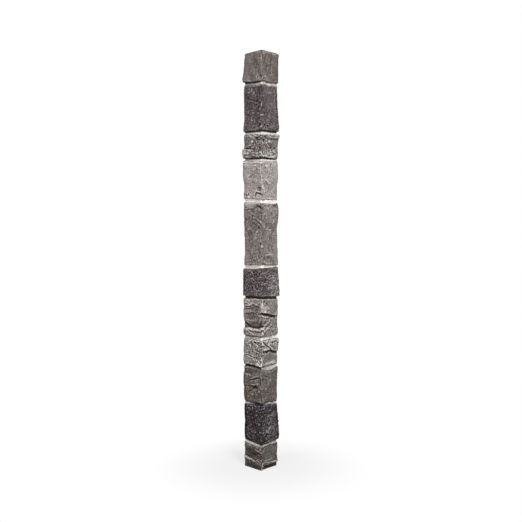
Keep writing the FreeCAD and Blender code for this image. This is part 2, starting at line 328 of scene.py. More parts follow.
# %% Beige slab stone
stone("beige_slab", (120, 113, 109), (104, 94, 90), (212, 205, 199), (20, 17, 16),
      (7.5, 0.8, 0.7, 4.2, 0.7, 0.5, 0.5, 0, 1.15),
      Step(((-72, 80), (-51, 80), (-42, 84), (-28, 82), (-10, 80)), 2, 14),
      crack((-71, 79), (-58, 79), wide=2.6),
      crack((-2, 60.5), (11, 59), (33, 55), (44, 53), (57, 49), wide=4.2, deep=4.2, paint=-3.2),
      crack((-70, 36), (-57, 28.5), (-39, 23), (-19, 22), (1, 26), (9, 27), wide=4.2, deep=3.2, paint=-1.1),
      crack((-3, 62), (2, 45), (3, 31), wide=2.2, deep=1.5, paint=-0.6),
      crack((-51, 15.5), (-36, 10), (-8, 11.5), (3, 16), wide=1.8, deep=1.5, paint=-0.9),
      *each(crack, ((-62, 72), (-28, 73), (-4, 60)), ((-64, 58), (-31, 60), (-7, 46)),
            wide=1.8, deep=0.8, paint=-0.5),
      crack((-64, 48), (-33, 51), (-9, 38), wide=1.6, deep=0.8, paint=-0.4),
      *each(crack, ((9, 32), (33, 46)), ((11, 20), (42, 36)), ((14, 8), (45, 25)),
            wide=1.8, deep=1.2, paint=-0.8),
      ridge((-62, 64), (-31, 66), (-5, 52), wide=1.6, deep=0.6, paint=0.4),
      ridge((-62, 42), (-35, 43), (-12, 32), wide=1.6, deep=0.5, paint=0.3),
      *each(ridge, ((11, 27), (38, 41)), ((12, 14), (44, 31)), wide=1.8),
      ridge((-62, 24), (-40, 16), (-8, 16.5), (11, 21), wide=1.8, deep=1.2, paint=0.7),
      ridge((-62, 19), (-45, 10), (-31, 3), wide=1.8, paint=0.8),
      ridge((-66, 96), (-48, 84), paint=0.9), *each(ridge, ((-58, 98), (-42, 88)), ((4, 94), (2, 80))),
      ridge((-70, 83.5), (-51, 83), (-42, 87), (-28, 85.5), (-13, 84), deep=0.6, paint=0.4),
      ridge((1, 54), (22, 50), paint=0.8), smooth(44, 80, 20, 16, 0, -0.6),
      fleck(-13, 66, 4), fleck(30, 74, 4), fleck(16, 66, 4.5, 1.6), fleck(6, 8, 4, 1.2),
      Patch(10, 78, 17, 12, -0.8, 0, 0.55, 0), Patch(-34, 56, 30, 26, -1.6, 0.2, -0.25, 1),
      Patch(-24, 30, 26, 8, 1.8, 0, -0.5, 1), Patch(-2, 34, 6, 9, 1.6, 0, -0.8, 0))

# %% Charcoal stone
stone("charcoal", (79, 72, 73), (75, 63, 66), (162, 155, 153), (14, 12, 12),
      (5.5, 0.8, 0.5, 4.4, 1.3, 0.5, 0.6, 0, 1.4),
      *each(ridge, ((-54, 86), (-44, 93), (-35, 86), (-38, 76)), ((-16, 62), (-6, 69), (4, 62)),
            ((10, 38), (18, 48), (30, 42)), deep=0.8, paint=0.8),
      *each(ridge, ((-2, 87), (10, 80), (26, 88)), ((-30, 30), (-18, 20), (-4, 30)), deep=0.8, paint=0.7),
      *each(ridge, ((-50, 56), (-38, 66), (-26, 58)), ((22, 66), (34, 60), (50, 70)), deep=0.8),
      ridge((54, 8), (68, 20), paint=0.4), ridge((-71, 28), (-62, 26)), crack((-73, 23), (-63, 21)),
      *each(pit, (-38, 74), (-22, 60), (-8, 80), (14, 58), (-36, 30)),
      *each(fleck, (40, 30), (52, 55), (-18, 38), (28, 26)),
      shade(52, 40, 22, 34, 0.5, -0.8), shade(-40, 50, 28, 40, 0, 1), shade(0, 96, 60, 3, -0.6),
      shade(-14, 50, 60, 70, -0.15), shade(-68, 60, 6, 40, -0.6))

# %% Long taupe stone
stone("long_taupe", (121, 113, 110), (104, 96, 89), (188, 181, 176), (32, 27, 26),
      (8, 0.7, 0.6, 4.5, 0.7, 0.5, 0.5, 0, 1.25),
      Step(((-71, 88.5), (-36, 90.8), (-13, 95.5), (3, 92.5)), 1.2, 20),
      crack((-24, 95.5), (-8, 94), (5, 90.5), wide=5.5, deep=1.6, paint=-0.9),
      crack((-71, 87.8), (-40, 90), (-16, 94), wide=2, deep=0.6, paint=-0.8),
      crack((51, 27), (51, 2), wide=1.8, deep=0.4, paint=-0.6),
      crack((-26, 74), (-4, 66), wide=3, deep=1.6, paint=-0.8),
      crack((-44, 81), (-28, 77), deep=1.2, paint=-0.7),
      *each(crack, ((-16, 86), (4, 83)), ((-20, 64), (0, 58)), wide=4, deep=1, paint=-0.6),
      crack((34, 52), (34, 39), wide=1.8, deep=1.2), crack((43, 51), (43, 39), wide=1.6, deep=1),
      ridge((-32, 76.5), (-2, 69), paint=0.5), ridge((-44, 83.5), (-25, 80), paint=0.4),
      ridge((8, 58), (45, 58), deep=0.8, paint=0.4), ridge((16, 15.5), (30, 17), (46, 16)),
      Patch(-46, 96.5, 28, 8, -0.6, 0.8, 0.65, -1), Patch(-48, 50, 9, 8, 0.8, 0, -0.4, 0.4),
      Patch(-26, 45, 9, 9, -0.5, 0.8, 0.4, -1), Patch(33, 79, 17, 24, 0, 0.4, 0.05, -1),
      Patch(34, 12, 11, 5, 1, 0, -0.5, 0), pit(-4, 33), pit(-6, 20), fleck(-2, 38), fleck(-22, 22),
      fleck(51, 71, 4), fleck(1, 29, 3), fleck(-19, 53, 3, 0.3), fleck(-12, 8, 4, 0.9),
      smooth(60, 20, 9, 40, 0.35, -1), shade(60, 97, 12, 4, -0.9), shade(-40, 70, 26, 36, -0.15, 0.9),
      shade(-68, 75, 6, 50, -0.5), shade(0, 50, 18, 90, -0.2), shade(12, 5, 30, 12, 0.1, 0.9))

# %% Pale grey stone and speckled stone
stone("pale_grey", (150, 144, 141), (140, 132, 131), (212, 207, 204), (58, 53, 51),
      (7, 0.7, 0.5, 4.2, 0.8, 0.6, 0.5, 0, 1),
      crack((-26, 8), (-20, 17.5), (-4, 15), (3, 10), wide=3.2, deep=3, paint=-1.8),
      *each(crack, ((14, 49), (34, 35)), ((20, 62), (42, 50)), wide=1.8, deep=0.7, paint=-0.4),
      ridge((-8, 90), (0, 64), (1, 42), wide=2.6, deep=0.5, paint=0.3),
      ridge((2, 38), (10, 25), wide=2.6, deep=1.2, paint=1), ridge((17, 53), (38, 39), deep=0.6, paint=0.3),
      *each(ridge, ((43, 24), (62, 8)), ((-30, 20), (-21, 26)), paint=0.3),
      ridge((6, 3), (40, 4), paint=0.5), ridge((-68, 95), (-54, 96)), ridge((-30, 97), (2, 96), paint=0.7),
      Patch(-9, 28, 10, 7, 1.2, 0.5, -0.6, 0), pit(-52, 12), pit(-60, 10), pit(-20, 80, 3, 0.8),
      fleck(-50, 4, 4), fleck(-30, 6, 3), fleck(34, 4, 3), smooth(-65, 55, 7, 42, -0.35),
      smooth(62, 60, 9, 40), shade(-20, 60, 16, 50, -0.1, 0.8), shade(0, 2, 30, 2, -0.3))
stone("speckled", (108, 102, 100), (100, 90, 91), (212, 207, 202), (20, 17, 17),
      (5.2, 0.9, 0.5, 3.8, 1.4, 0.6, 0.7, 0, 1.7),
      crack((-24, 3), (-34, 6), (-44, 2), wide=2, deep=1.2),
      ridge((-7, 26), (0, 15), (8, 6), wide=2.8, deep=1.6, paint=1.2),
      ridge((-16, 3), (-4, 8), (14, 7), (30, 5), (56, 6), wide=2.4, deep=0.6, paint=1.2),
      *each(ridge, ((-53, 97), (-37, 86)), ((-38, 98), (-20, 90)), paint=0.8),
      *each(pit, (-19, 82), (8, 76), size=4.2, deep=2), *each(pit, (-8, 42), (42, 46), size=4, deep=2),
      pit(-45, 48), pit(-30, 30), pit(56, 44, 4, 1.5), Patch(-66, 22, 8, 8, -0.8, 0.3, 0.3, 0),
      *each(fleck, (-36, 70), (-28, 52), (-14, 60), (20, 62), (-20, 20), (34, 72)),
      smooth(-62, 70, 7, 18, -0.4, -0.6), smooth(56, 80, 12, 10, 0.1, -1),
      shade(-12, 50, 28, 50, -0.25), shade(-20, 60, 24, 22, 0, 0.8), shade(40, 20, 30, 8, 0.2),
      shade(10, 93, 62, 6, -0.5), shade(-56, 40, 18, 3, -0.8), shade(-52, 62, 9, 14, -0.2, -0.6),
      shade(50, 58, 14, 6, -0.3))

# %% Plum stone and head stone
stone("plum", (79, 71, 72), (76, 64, 67), (158, 150, 149), (15, 12, 13),
      (5.5, 0.6, 0.4, 4.2, 1, 0.5, 0.4, 0, 1.45),
      ridge((55, 97), (58, 46), deep=0.8, paint=0.5),
      *each(pit, (-19, 65), (-13, 51), (-8, 13), (14, 12), (-10, 27), (26, 10), size=4),
      *each(pit, (-7, 60), (-22, 57), (12, 38), (-54, 72)),
      *each(fleck, (-48, 84), (-34, 40), (-30, 20)), fleck(-40, 88, 4, 0.4),
      *each(fleck, (24, 22), (8, 44), (-14, 38), (-4, 62), size=3),
      *each(fleck, (-1, 55), (8, 33), (-6, 46), size=3, paint=0.8),
      fleck(-16, 6, 3, 0.9), fleck(-1, 34, 4, 1.3), fleck(-1, 9, paint=1.6),
      smooth(31, 70, 20, 36, 0.25, -0.6), shade(-8, 50, 34, 90, -0.2), shade(-58, 60, 16, 40, -0.25, 1),
      shade(-6, 88, 12, 16, -0.2, 0.9), shade(40, 3, 26, 3, -0.7), shade(-36, 0, 36, 3, -0.6),
      shade(69, 50, 4, 70, -0.8))
stone("head", (100, 93, 92), (95, 84, 73), (162, 155, 151), (26, 23, 22),
      (6, 0.5, 0.4, 4.2, 0.6, 0.5, 0.4, 0.5, 1.25),
      ridge((-1, 82), (0, 68), wide=2.6, paint=0.8),
      *each(ridge, ((-24, 84), (-16, 60)), ((4, 56), (16, 40)), deep=0.5, paint=0.3),
      *each(pit, (-15, 15), (10, 9), size=2.6, deep=0.8), pit(-4, 18, 3.2, 0.8), fleck(-9, 9, 3, 0.5),
      *each(fleck, (-19, 13), (3, 12), (16, 15), size=3, paint=0.4),
      Patch(57, 30, 11, 30, 0, 0.3, -0.1, 0.9), Patch(-72, 100, 14, 9, 3.5, 0.3, 0.5, 0),
      Patch(72, 100, 8, 7, 3, 0.3, -0.3, 0), Patch(-72, 0, 5, 6, 2, 0.3, -0.9, 0),
      smooth(-56, 20, 14, 18, 0.1, -1), smooth(-58, 80, 16, 22, 0.1, -0.6),
      shade(30, 84, 24, 12, -0.1, 0.8), shade(0, 40, 7, 60, -0.1), shade(36, 50, 4, 20, -0.5),
      shade(-44, 56, 9, 11, -0.3, -1), shade(-10, 70, 18, 20, 0.05, -0.3), shade(69, 50, 4, 70, -0.6),
      shade(0, 100, 60, 2.5, -0.5))
print(len(FINISHES), "stone finishes for", STONES, "stones")

# %% [markdown]
# ## The natural break
# Between the placed marks, split stone breaks in tilted flat chips, with ridges
# between them, pits where crystals fell out and a fine grain over all. Voronoi
# cells that each tilt their own way are the chips, a ridged fractal is the
# fracture, and noise that only cuts in makes the pits. Noise is read at the
# place in space, not on the flat layout, so it runs on round the arris, and it
# is first bent a little, which breaks up its regular look. Noise vectors differ
# from run to run unless they get a seed, so one is set, and every run makes the
# same stones.

# %% Chips, ridges, pits and grain
SEED = 7                     # another number makes slightly other facets
noise.seed_set(SEED)
RIDGE_SIZE = 26 * MM
GRAIN_SIZE = 3.2 * MM
BEND_SIZE = 9 * MM
BEND = 2.2 * MM
SHIFT = 0.37                 # every stone reads the noise this much further up
BRUSHED = (1.6, 1.6, 0.5)    # upright brushing stretches the break like this
TONE_AT, TILT_AT = 7.7, 5.3  # a chip's middle times these reads its tone and tilt
TILT, RISE = 2.2, 0.9        # how much chips tilt, and stand out by their tone
RIDGED = (0.9, 2.1, 4, 1.0, 2.0)     # roughness, spacing, layers, offset and gain
RIDGED_MEAN, RIDGED_SHARE = 1.1, 0.6
PIT_FROM, PIT_STEEP = 0.05, 2.2      # noise above the first is a pit, this steep
FINE_PITS, FINE_SHARE = 2.1, 0.5


def natural_break(style, number, spot):
    """Height in metres and the chip's own tone of a split stone at a place."""
    moved = spot + Vector((0, 0, number * SHIFT))
    if style.brushed:
        moved = Vector([a * (1 + (b - 1) * style.brushed) for a, b in zip(moved, BRUSHED)])
    bent = moved + noise.noise_vector(moved / BEND_SIZE) * BEND
    in_chips = bent / (style.chip * MM)
    middle = noise.voronoi(in_chips)[1][0]
    tone = noise.noise(middle * TONE_AT)
    chip = TILT * noise.noise_vector(middle * TILT_AT).dot(in_chips - middle) + RISE * tone
    fracture = RIDGED_SHARE * (noise.ridged_multi_fractal(moved / RIDGE_SIZE, *RIDGED) - RIDGED_MEAN)
    in_pits = bent / (style.pit * MM)
    hole = noise.noise(in_pits) + FINE_SHARE * noise.noise(in_pits * FINE_PITS)
    hole = max(0.0, min(1.0, (hole - PIT_FROM) * PIT_STEEP))
    height = (style.chip_deep * chip + style.ridge_deep * fracture - style.pit_deep * hole
              + style.grain_deep * noise.noise(moved / GRAIN_SIZE))
    return height * MM, tone


trial = natural_break(FINISHES[4].style, 4, Vector((0.01, -0.03, 0.45)))
print("break at a trial place", round(trial[0] / MM, 2), "mm")

# %% [markdown]
# ## Cutting the placed marks
# Each mark turns into a height, a share of paint and a calm on a whole stone at
# once: numpy works on the grid as one block, which is far quicker than going
# point by point. The grid is bent by the same kind of noise first, so that no
# crack runs dead straight.

# %% How strongly a mark acts at every place
TAPER = 0.35                 # a stroke's ends are this wide beside its middle
STEP_EDGE = 1.5              # mm over which a bed line drops
STEP_END = 5.0               # mm over which a bed line dies out sideways


def stroke_shape(stroke, along, up, percent):
    """Strength of a stroke at every place. The last value is 1% of the stone's height, in mm."""
    nearest = np.full(along.shape, np.inf)
    run = np.zeros(along.shape)
    start = 0.0
    for (a0, p0), (a1, p1) in zip(stroke.path, stroke.path[1:]):
        da, du = a1 - a0, (p1 - p0) * percent
        length = math.hypot(da, du)
        t = np.clip(((along - a0) * da + (up - p0 * percent) * du) / length ** 2, 0, 1)
        gap = np.hypot(along - a0 - t * da, up - p0 * percent - t * du)
        run = np.where(gap < nearest, start + t * length, run)
        nearest = np.minimum(gap, nearest)
        start += length
    ends = np.clip(np.minimum(run, start - run) / (2 * stroke.wide), 0, 1)
    return (TAPER + (1 - TAPER) * ends) * np.clip(1 - nearest / stroke.wide, 0, 1)


def step_shape(step, along, up, percent):
    places, percents = zip(*step.path)
    below = np.interp(along, places, np.array(percents) * percent) - up
    inside = np.minimum(along - places[0], places[-1] - along)
    ends = np.clip(inside / STEP_END + 1, 0, 1)
    return np.clip(below / STEP_EDGE + 0.5, 0, 1) * np.clip(1 - below / step.fade, 0, 1) * ends


def patch_shape(patch, along, up, percent):
    sideways = (along - patch.along) / patch.wide
    upright = (up - patch.percent * percent) / patch.tall
    return np.exp(-(sideways ** 2 + upright ** 2) ** 2)


# %% All marks of one stone
def cut_marks(marks, along, up, percent):
    """Height in mm, paint, calm and tint that a stone's marks give on its grid."""
    height, paint, calm, tint = (np.zeros(along.shape) for _ in range(4))
    for mark in marks:
        if isinstance(mark, Stroke):
            shape = stroke_shape(mark, along, up, percent)
            height -= mark.deep * shape
            paint += mark.paint * np.sqrt(shape)
        elif isinstance(mark, Step):
            height -= mark.drop * step_shape(mark, along, up, percent)
        else:
            shape = patch_shape(mark, along, up, percent)
            height -= mark.deep * shape
            paint += mark.paint * shape
            calm += mark.calm * shape
            tint += mark.tint * shape
    return height, paint, np.clip(calm, 0, 1), np.clip(tint, -1, 1)


sample = cut_marks([crack((0, 50), (20, 50))], np.array([[10.0]]), np.array([[50.0]]), 1)
print("a crack is cut", round(float(sample[0][0, 0]), 2), "mm")

# %% [markdown]
# ## Laying the grid
# Rows run round the corner and columns up it. A stone has rows about every
# millimetre and a half between its own two edges, then two rows down each side
# wall, then the mortar of the joint. Rows are shared by all columns, so the mesh
# stays one clean sheet of quads.

# %% Rows of the skin
ROW_PITCH = 1.45 * MM
WALL_ROWS = (0.35, 0.75)     # shares of the way from a stone's edge down to the mortar
MORTAR_ROWS = 5

mortar_shares = [i / (MORTAR_ROWS - 1) for i in range(MORTAR_ROWS)]
skin_rows = []               # each: kind, stone or joint number, share of its height
for number in range(STONES):
    count = round(mean_heights[number] / ROW_PITCH)
    skin_rows += [("mortar", number, share) for share in mortar_shares]
    skin_rows += [("under", number, 1 - share) for share in reversed(WALL_ROWS)]
    skin_rows += [("stone", number, i / count) for i in range(count + 1)]
    skin_rows += [("over", number, share) for share in WALL_ROWS]
skin_rows += [("mortar", STONES, share) for share in mortar_shares]


def rows_of(*kinds):
    """Place in the list, kind, number and share of every row of these kinds."""
    return [(r, *row) for r, row in enumerate(skin_rows) if row[0] in kinds]


stone_rows = [[r for r, _, owner, _ in rows_of("stone") if owner == number]
              for number in range(STONES)]
print(len(skin_rows), "rows by", len(columns), "columns")

# %% Chipped edges of the stones
SAWN = 0.6 * MM              # stones end this near a sawn end
WAVE_SIZE = 7 * MM
WAVE, FINE_WAVE = 0.8 * MM, 0.4 * MM
FINER = 3.3                  # the fine wave is this much finer
EDGE_SHIFT = 3.1             # keeps the edges from wavering alike
FELT_JOINT = 5               # the joint where the mortar's level is felt


def edge_wave(number, along):
    """Waver of a stone's edge, from chips knocked off it."""
    spot = Vector((along / WAVE_SIZE, number * EDGE_SHIFT, 0.5))
    return noise.noise(spot) * WAVE + noise.noise(spot * FINER) * FINE_WAVE


chipped = edge_rows + [[edge_wave(i, along) for along in columns] for i in range(2 * STONES)]
chipped = np.clip(chipped, SAWN, TOP - SAWN)
low_edge, high_edge = chipped[0::2], chipped[1::2]
joint_low = np.vstack([np.zeros(len(columns)), high_edge])
joint_high = np.vstack([low_edge, np.full(len(columns), TOP)])
middle_joint = (joint_low[FELT_JOINT] + joint_high[FELT_JOINT]) / 2
mortar_level = np.array([min(feel(along, z), DEEP) for along, z in zip(felt_columns, middle_joint)])
print("mortar level, mm", round(mortar_level.min() / MM, 2), "to", round(mortar_level.max() / MM, 2))

# %% [markdown]
# ## Placing the stones' points
# A stone's point starts on the CAD skin. The natural break and the placed marks
# are added, smooth spots calm the break down, and the borders are worn: along
# the top and bottom edges, round the arris, where passing things knock chips off,
# and at the flat ends.

# %% Wear along borders
BEVEL = 2.6                  # mm over which a stone's edge is worn
EDGE_CHIP = 1.6              # most that an edge is nibbled back
NIBBLED = 0.25               # added to the noise, so that more of the edge is nibbled
ARRIS_WIDE = 5.0             # mm each side of the arris that are worn round
ARRIS_DROP = 0.7
ARRIS_CHIP = 1.4
END_ROUND = 1.2              # rounding at the flat ends
END_TURN = 0.95              # how much of a full quarter turn the rounding makes


def border_wear(along, from_edge, nibble, knock):
    """Wear in mm, from places in mm and two noises."""
    worn = np.clip(1 - from_edge / BEVEL, 0, 1) ** 2
    arris = np.clip(1 - np.abs(along) / ARRIS_WIDE, 0, 1) ** 2
    end = np.clip(1 - (LEG / MM - np.abs(along)) / END_ROUND, 0, 1)
    end = END_ROUND * (1 - np.sqrt(1 - (END_TURN * end) ** 2))
    return (EDGE_CHIP * np.clip(nibble + NIBBLED, 0, 1) * worn + ARRIS_DROP * arris
            + ARRIS_CHIP * np.clip(knock, 0, 1) * np.sqrt(arris) + end)


print("wear on the arris", round(float(border_wear(0, 20, 0, 0)), 2), "mm")

# %% Place the stones' points
FACE_INSET = 0.9 * MM        # rays keep this far from a stone's edges
NIBBLE_SIZE = 5 * MM
KNOCK_SIZE = 9 * MM
KNOCK_SHIFT = Vector((3, 1, 2))
WANDER_SIZE = 8 * MM
WANDER = 1.6                 # mm by which placed marks wander
RAGGED_SIZE = 3.2 * MM
RAGGED = 1.1                 # mm by which their outlines are ragged
CALMED = 0.75                # how much of the break a smooth spot takes away
EDGE_SHARE = 0.4             # how much of the break is left at a stone's edge

shape = (len(skin_rows), len(columns))
out_grid, z_grid, paint_grid, calm_grid, tint_grid, chip_grid = (np.zeros(shape) for _ in range(6))


def shape_stone(number, finish):
    rows = stone_rows[number]
    low, high = low_edge[number], high_edge[number]
    shares = np.array([skin_rows[r][2] for r in rows])[:, None]
    z = low + shares * (high - low)
    aim = np.clip(z, edge_rows[2 * number] + FACE_INSET, edge_rows[2 * number + 1] - FACE_INSET)
    base, broken, tone, nibble, knock, drift_a, drift_u = (np.zeros(z.shape) for _ in range(7))
    for i in range(z.shape[0]):
        for c, along in enumerate(columns):
            base[i, c] = feel(felt_columns[c], aim[i, c])
            spot = place(along, base[i, c], z[i, c])
            broken[i, c], tone[i, c] = natural_break(finish.style, number, spot)
            nibble[i, c] = noise.noise(spot / NIBBLE_SIZE)
            knock[i, c] = noise.noise(spot / KNOCK_SIZE + KNOCK_SHIFT)
            drift_a[i, c], drift_u[i, c], _ = (noise.noise_vector(spot / WANDER_SIZE) * WANDER
                                               + noise.noise_vector(spot / RAGGED_SIZE) * RAGGED)
    tall = float((high - low).mean()) / MM
    marks, paint_grid[rows], calm, tint_grid[rows] = cut_marks(
        finish.marks, columns / MM + drift_a, shares * tall + drift_u, tall / 100)
    from_edge = np.minimum(z - low, high - z) / MM
    wear = border_wear(columns / MM, from_edge, nibble, knock)
    inner = EDGE_SHARE + (1 - EDGE_SHARE) * np.clip(from_edge / BEVEL, 0, 1)
    out_grid[rows] = base + broken * (1 - CALMED * calm) * inner + (marks - wear) * MM
    z_grid[rows] = z
    calm_grid[rows] = calm
    chip_grid[rows] = tone * (1 - calm) * finish.style.facets


for number, finish in enumerate(FINISHES):
    shape_stone(number, finish)
print("stones stand out", round(out_grid.min() / MM, 2), "to", round(out_grid.max() / MM, 2), "mm")

# %% [markdown]
# ## Mortar and side walls
# The mortar is a sandy strip that dips in its middle. Over the top stone and
# under the foot there is no joint: the saw went through, so there the strip
# follows the stone unless it is wide. The side walls go straight down from a
# stone's edge to the mortar.

# %% Keep the skin in its limits
LEAST = 0.8 * MM             # least that a stone stands out from the mortar
ROOM = 0.1 * MM              # kept inside the CAD box
left_limit = ARRIS.y - cad_box[0][1] - ROOM
right_limit = cad_box[1][0] - ARRIS.x - ROOM
limits = np.where(columns < 0, left_limit, right_limit)
for rows in stone_rows:
    out_grid[rows] = np.clip(out_grid[rows], mortar_level + LEAST, limits)
print("limits, mm", round(left_limit / MM, 2), round(right_limit / MM, 2))

# %% Place the rest
SAND = 0.5 * MM              # roughness of the mortar
SAND_SIZE = 2.8 * MM
HOLLOW = 0.5 * MM            # how far a joint dips in its middle
FULL_STRIP = 4 * MM          # a strip at a sawn end this wide is as deep as a joint
RIPPLE = 0.35 * MM           # waver of the side walls
RIPPLE_SIZE = 3 * MM


def mortar_row(r, number, share):
    z_grid[r] = joint_low[number] + (joint_high[number] - joint_low[number]) * share
    dip = HOLLOW * math.sin(math.pi * share)
    for c, along in enumerate(columns):
        spot = place(along, mortar_level[c], z_grid[r, c])
        out_grid[r, c] = mortar_level[c] - dip + SAND * noise.noise(spot / SAND_SIZE)
    if number in (0, STONES):
        edge = stone_rows[0][0] if number == 0 else stone_rows[-1][-1]
        deep = np.clip((joint_high[number] - joint_low[number] - SAWN) / FULL_STRIP, 0, 1)
        out_grid[r] = out_grid[edge] + (out_grid[r] - out_grid[edge]) * deep


def wall_row(r, edge, foot_row, down):
    """A row that is this share of the way from a stone's edge down to another row."""
    out_grid[r] = out_grid[edge] + (out_grid[foot_row] - out_grid[edge]) * down
    ripple = [noise.noise(place(along, 0, z) / RIPPLE_SIZE) for along, z in zip(columns, z_grid[edge])]
    z_grid[r] = np.clip(z_grid[edge] + RIPPLE * np.array(ripple), 0, TOP)


for r, _, number, share in rows_of("mortar"):
    mortar_row(r, number, share)
for r, _, number, share in rows_of("under"):
    wall_row(r, stone_rows[number][0], r - 1 if share > 0.5 else r - 2, 1 - share)
for r, _, number, share in rows_of("over"):
    wall_row(r, stone_rows[number][-1], r + 1 if share > 0.5 else r + 2, share)
print("skin stands out", round(out_grid.min() / MM, 2), "to", round(out_grid.max() / MM, 2), "mm")

# %% [markdown]
# ## Masks for the paint
# Paint gathers by shape: the wash runs into hollows and the drag coat catches
# ridges, and these darker hollows and lighter ridges are partly painted shade and
# painted highlight. A point's height over the average round it gives the first
# mask. The steepest rise above it gives painted shade under ledges, where a ledge
# would cast its shadow, and a surface that falls back above a point marks a top
# edge, which gets a painted highlight. These are kept on the mesh as attributes,
# so the shader can read them, and they come from the shape itself, so paint and
# relief always agree.

# %% Height over the surroundings
FINE, BROAD = 2, 6           # points each way that count as the surroundings
FULL_FINE, FULL_BROAD = 0.55 * MM, 1.5 * MM
FINE_PART = 0.7              # the rest of the mask is the broad one's
HIGHEST = 1.3


def blurred(grid, reach):
    """Mean of the points round each one."""
    padded = np.pad(grid, reach, mode="edge")
    span = range(2 * reach + 1)
    total = sum(padded[i:i + grid.shape[0], j:j + grid.shape[1]] for i in span for j in span)
    return total / len(span) ** 2


height_grid = np.zeros(shape)
for rows in stone_rows:
    face = out_grid[rows] - out_grid[rows].mean(axis=0)
    height_grid[rows] = (FINE_PART * (face - blurred(face, FINE)) / FULL_FINE
                         + (1 - FINE_PART) * (face - blurred(face, BROAD)) / FULL_BROAD)
height_grid = np.clip(height_grid, -HIGHEST, HIGHEST)
print("height mask spread", round(float(height_grid.std()), 3))

# %% Painted shade under ledges, painted highlight on top edges
REACH_UP = 7                 # rows above that can shelter a point
NEAR_UP = 3                  # rows above that decide whether it is exposed
LEAST_RISE = 0.7 * MM
LEDGE_SHADE_FROM, LEDGE_SHADE_MOST = 0.45, 1.2       # slopes
TOP_HIGHLIGHT_FROM, TOP_HIGHLIGHT_MOST = 0.25, 1.0


def slope_above(rows_up):
    """Slope from each point out to the one some rows above it."""
    above_out = np.vstack([out_grid[rows_up:], np.repeat(out_grid[-1:], rows_up, axis=0)])
    above_z = np.vstack([z_grid[rows_up:], np.repeat(z_grid[-1:], rows_up, axis=0)])
    return (above_out - out_grid) / np.maximum(above_z - z_grid, LEAST_RISE)


slopes = np.array([slope_above(k) for k in range(1, REACH_UP + 1)])
# Painted shade where a ledge above would shadow a point, and a painted highlight on top edges.
ledge_shade = np.clip(slopes.max(axis=0) - LEDGE_SHADE_FROM, 0, LEDGE_SHADE_MOST)
top_highlight = np.clip(-slopes[:NEAR_UP].mean(axis=0) - TOP_HIGHLIGHT_FROM, 0, TOP_HIGHLIGHT_MOST)
print("sheltered share", round(float((ledge_shade > 0.5).mean()), 3))

# %% Dirt and painted shadow in the joints
# The top of each joint takes a painted shadow line under the stone above.
JOINT_SHADOW_LINE_FROM = 0.55       # share of a joint's height where its dark top line begins
# Dirt and painted shade at places in mm along the legs, by joint from the strip
# under the foot to the strip over the head. A value below zero paints the joint lighter.
JOINT_DIRT_AND_SHADE = (
    [(3, 0), (6, 0.9), (71, 1.1)],
    [(-71, 0.4), (-10, 0.5), (0, 0.9), (10, 0.5), (71, 0.3)],
    [(-71, 0.5), (-50, 0.6), (-34, 0.9), (-20, 1.4), (0, 1.4), (10, 0.8), (71, 0.45)],
    [(-71, 1.4), (-6, 1.3), (4, 0.6), (71, 0.45)],
    [(-71, 0.6), (-30, 0.4), (0, 0.2), (71, 0.1)],
    [(-40, 1.1), (-10, 1.5), (20, 1.4), (40, 1)],
    [(-71, -0.6), (71, -0.3)],
    [(-71, -0.5), (71, -0.2)],
    [(-71, 0.4), (71, 0.3)],
    [(-71, 0.2), (0, 0.1), (71, 0.2)],
    [(-71, 0.6), (0, 0.5), (71, 0.6)],
    [(0, 0)])
# The painted shadow line under the stone above, by joint in the same way.
JOINT_SHADOW_LINE = (               # the same for the dark line under the stone above
    [(2, 0), (5, 2.4)],
    [(-71, 1.3), (0, 1.8), (71, 2.4)],
    [(-71, 0.8), (-20, 1.8), (0, 2.2), (16, 2), (28, 1), (71, 0.9)],
    [(-71, 1.5), (0, 1.2), (10, 0.4)],
    [(-71, 1.6), (0, 1.4), (12, 0.2), (71, 0.1)],
    [(0, 2.6)],
    [(0, 0.2)],
    [(-71, 0.8), (20, 0.4), (30, 0.1)],
    [(-71, 1), (-30, 1.3), (0, 2.6)],
    [(0, 1.5)],
    [(-71, 1), (-5, 0.8), (5, 0)],
    [(0, 0)])


def along_legs(joints):
    """Values for every column of every joint."""
    return [np.interp(columns / MM, *zip(*points)) for points in joints]


dirt_and_shade, line = along_legs(JOINT_DIRT_AND_SHADE), along_legs(JOINT_SHADOW_LINE)
print("most dirt in each joint", [round(float(most.max()), 1) for most in dirt_and_shade])

# %% Tone of every point, with painted shade and highlights
SHELTER_WASH = 0.6
EXPOSED_LIGHT = 0.2
CHIP_TONE = 0.6
END_SHADE = 1.1               # painted shade at the flat ends, where the stones' edges turn away from the light
END_SHADE_WIDE = 3.5 * MM
MORTAR_END_SHADE = 0.2

to_end = np.clip(1 - (LEG - np.abs(columns)) / END_SHADE_WIDE, 0, 1)
# Painted shade under ledges and at the flat ends, and a painted highlight on top edges, join the marks'
# paint and the chips' own tone.
tone_with_painted_light = (paint_grid + CHIP_TONE * chip_grid - SHELTER_WASH * ledge_shade + EXPOSED_LIGHT * top_highlight
             - END_SHADE * to_end)
# Mortar: dirt, a painted shadow line under the stone above and painted shade at the flat ends.
for r, _, number, share in rows_of("mortar"):
    near_top = max(0.0, (share - JOINT_SHADOW_LINE_FROM) / (1 - JOINT_SHADOW_LINE_FROM))
    tone_with_painted_light[r] = -dirt_and_shade[number] - line[number] * near_top - MORTAR_END_SHADE * to_end
# The side walls under each stone get the painted shadow line as well.
for r, _, number, _ in rows_of("under"):
    tone_with_painted_light[r] -= line[number]
print("tone spread", round(float(tone_with_painted_light.std()), 3))

# %% [markdown]
# ## One closed mesh
# The skin is a sheet of quads. Behind it the moulding is plain: two flat legs
# that meet in a square inner corner, and sawn ends. These close the sheet with a
# few flat faces that share its border points, so the mesh is watertight, as the
# moulding is one piece.

